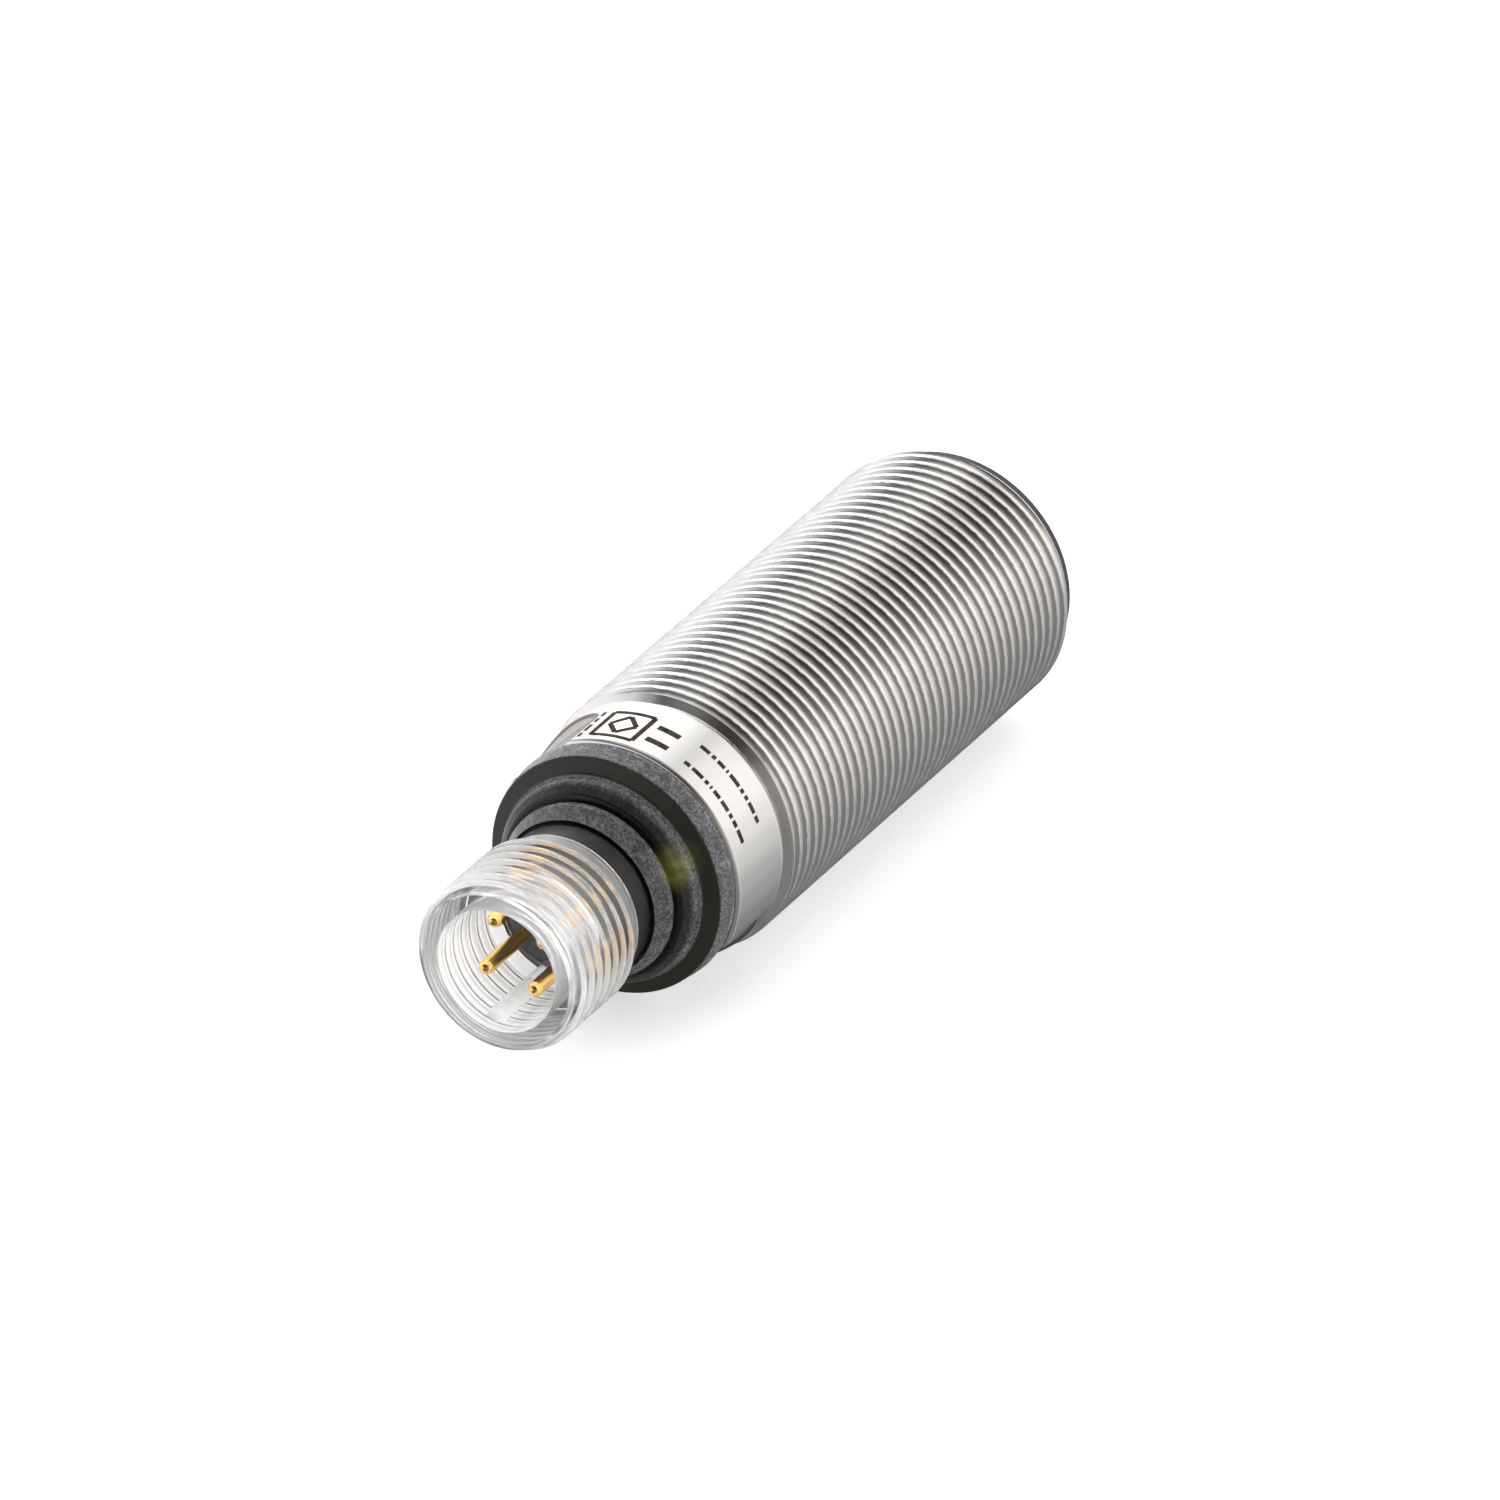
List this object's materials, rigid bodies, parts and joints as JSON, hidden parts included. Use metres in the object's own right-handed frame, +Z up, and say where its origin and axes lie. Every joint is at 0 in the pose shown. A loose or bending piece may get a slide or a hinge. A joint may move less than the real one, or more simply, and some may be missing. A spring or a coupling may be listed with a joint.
{
  "type": "inductive proximity sensor",
  "caption": "Cylindrical inductive proximity sensor with a threaded metal barrel, wrench flats, a light ring and a clear threaded plug round its contact pins.",
  "frame": {"origin": "centre of the sensing face, at the end of the barrel away from the plug", "axes": "+X is the outward normal of the sensing face, along the barrel and away from the plug; +Z is up with the barrel lying level; the plug's key rib is at the bottom"},
  "size_m": [0.06, 0.0178, 0.0178],
  "materials": {
    "nickel_plate": "polished nickel plating over brass",
    "face_plastic": "fine matt",
    "smoked_plastic": "translucent smoked, glossy",
    "clear_plastic": "clear, glossy",
    "carrier_plastic": "moulded, satin",
    "gold_plate": "gold-plated, polished",
    "seal_rubber": "matt",
    "board_laminate": "solder mask, satin",
    "led_resin": "yellow-green, clear resin",
    "sleeve_plastic": "natural, matt",
    "bare_brass": "turned",
    "ferrite": "pressed, matt",
    "bobbin_plastic": "natural, matt",
    "copper": "enamelled copper",
    "potting_resin": "cast resin",
    "chip_plastic": "moulded, matt",
    "capacitor_ceramic": "fired ceramic",
    "resistor_ceramic": "glazed ceramic",
    "wire_sheath": "flexible sheath"
  },
  "bodies": {
    "root": {"threaded_housing": "nickel_plate", "sensing_face_cap": "face_plastic", "light_ring": "smoked_plastic", "plug_body": "clear_plastic", "contact_carrier": "carrier_plastic", "contact_pin_1": "gold_plate", "contact_pin_2": "gold_plate", "contact_pin_3": "gold_plate", "contact_pin_4": "gold_plate", "housing_o_ring": "seal_rubber", "plug_seal_ring": "seal_rubber", "led_board": "board_laminate", "indicator_leds": "led_resin", "insulating_sleeve": "sleeve_plastic", "shield_ring": "bare_brass", "ferrite_core": "ferrite", "coil_bobbin": "bobbin_plastic", "coil_winding": "copper", "core_holder": "carrier_plastic", "potting_compound": "potting_resin", "circuit_board": "board_laminate", "control_chip": "chip_plastic", "output_transistor": "chip_plastic", "protection_diodes": "chip_plastic", "smd_capacitors": "capacitor_ceramic", "smd_resistors": "resistor_ceramic", "pin_leads": "wire_sheath", "led_leads": "wire_sheath", "coil_leads": "copper"}
  },
  "joints": []
}
